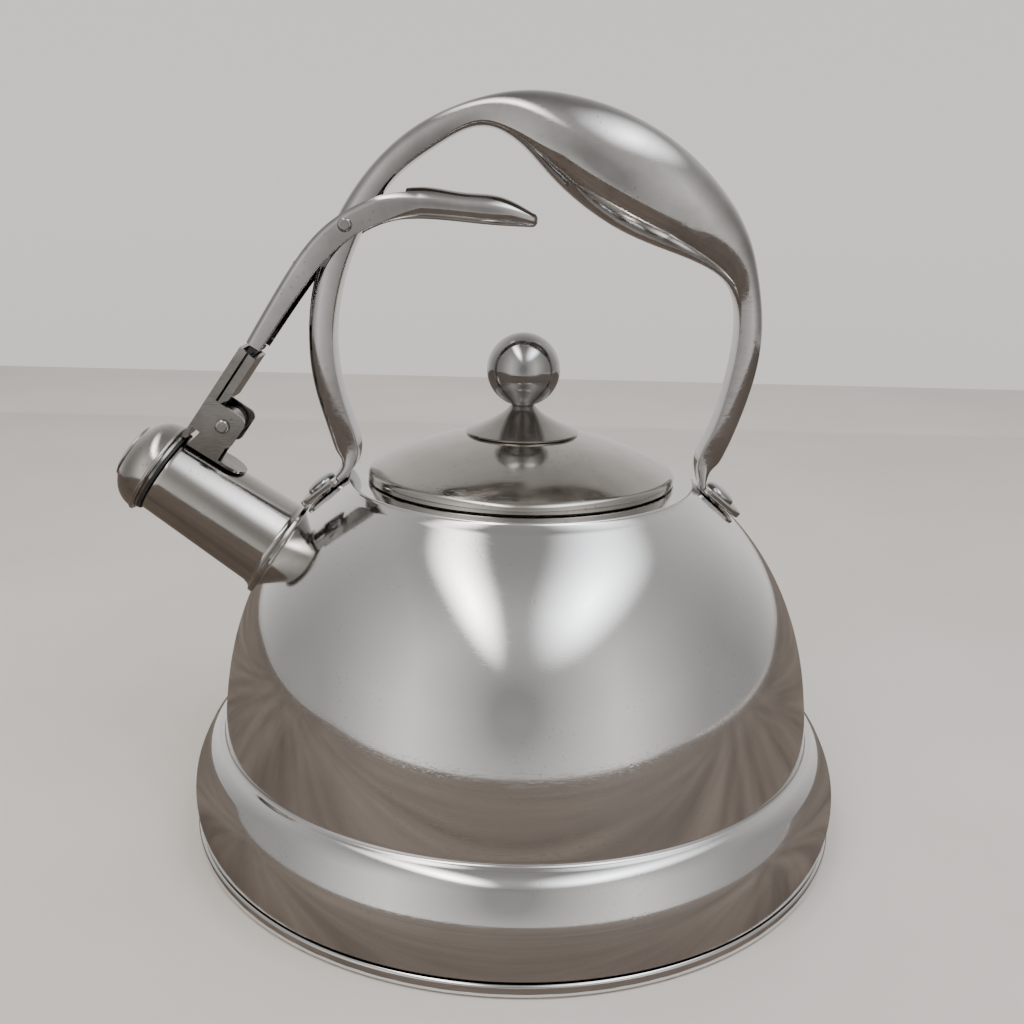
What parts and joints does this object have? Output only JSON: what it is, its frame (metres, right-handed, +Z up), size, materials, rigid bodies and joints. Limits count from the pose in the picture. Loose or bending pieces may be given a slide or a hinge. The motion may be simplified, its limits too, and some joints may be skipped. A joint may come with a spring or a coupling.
{
  "type": "whistling kettle",
  "caption": "Stovetop whistling kettle in mirror steel with a lift-off lid, an arched handle and a squeeze lever that opens the whistle cap on its spout.",
  "frame": {"origin": "middle of the base's underside, where it stands", "axes": "+Z up; the spout points towards -X and the handle, lever and spout lie in the XZ plane"},
  "size_m": [0.2476, 0.2224, 0.2415],
  "materials": {
    "mirror_steel": "mirror-polished stainless steel with fine swirl scratches and specks",
    "sheet_steel": "pressed stainless sheet with a duller polish",
    "spring_steel": "drawn spring wire",
    "core_aluminium": "plain rolled plate",
    "black_plastic": "matte black heat-resistant plastic",
    "black_silicone": "matte black silicone rubber"
  },
  "bodies": {
    "kettle": {"body_shell": "mirror_steel", "bottom_pan": "sheet_steel", "base_core": "core_aluminium", "base_cover": "mirror_steel", "spout_tube": "mirror_steel", "spout_flange": "mirror_steel", "spout_saddle": "sheet_steel", "hinge_pin": "sheet_steel", "hinge_bush": "black_plastic", "hinge_spring": "spring_steel", "handle": "mirror_steel", "handle_rivets": "mirror_steel"},
    "lid": {"lid_shell": "mirror_steel", "lid_collar": "sheet_steel", "knob_cone": "sheet_steel", "knob_ball": "mirror_steel", "knob_screw": "sheet_steel", "knob_washer": "sheet_steel"},
    "lever": {"lever": "mirror_steel", "lever_pin": "sheet_steel", "lever_slider": "black_plastic"},
    "cap": {"cap_bracket": "sheet_steel", "cap_shell": "mirror_steel", "cap_disc": "mirror_steel", "cap_seal": "black_silicone", "whistle_inner": "sheet_steel", "whistle_outer": "sheet_steel", "whistle_ring": "sheet_steel"}
  },
  "joints": [
    {"name": "lid_lift", "type": "slide", "parent": "kettle", "child": "lid", "axis": [0, 0, 1], "range_m": [0, 0.03]},
    {"name": "lever_squeeze", "type": "hinge", "parent": "kettle", "child": "lever", "pos_m": [-0.057, 0, 0.2001], "axis": [0, -1, 0], "range_deg": [0, 12]},
    {"name": "cap_open", "type": "hinge", "parent": "kettle", "child": "cap", "pos_m": [-0.09849, 0, 0.13494], "axis": [0, 1, 0], "range_deg": [0, 25.7], "stiffness_Nm_per_rad": 0.08, "springref_deg": -22.92, "deforming": ["hinge_spring"]}
  ],
  "couplings": [
    {"joint": "cap_open", "follows": "lever_squeeze", "ratio": 2.14}
  ]
}
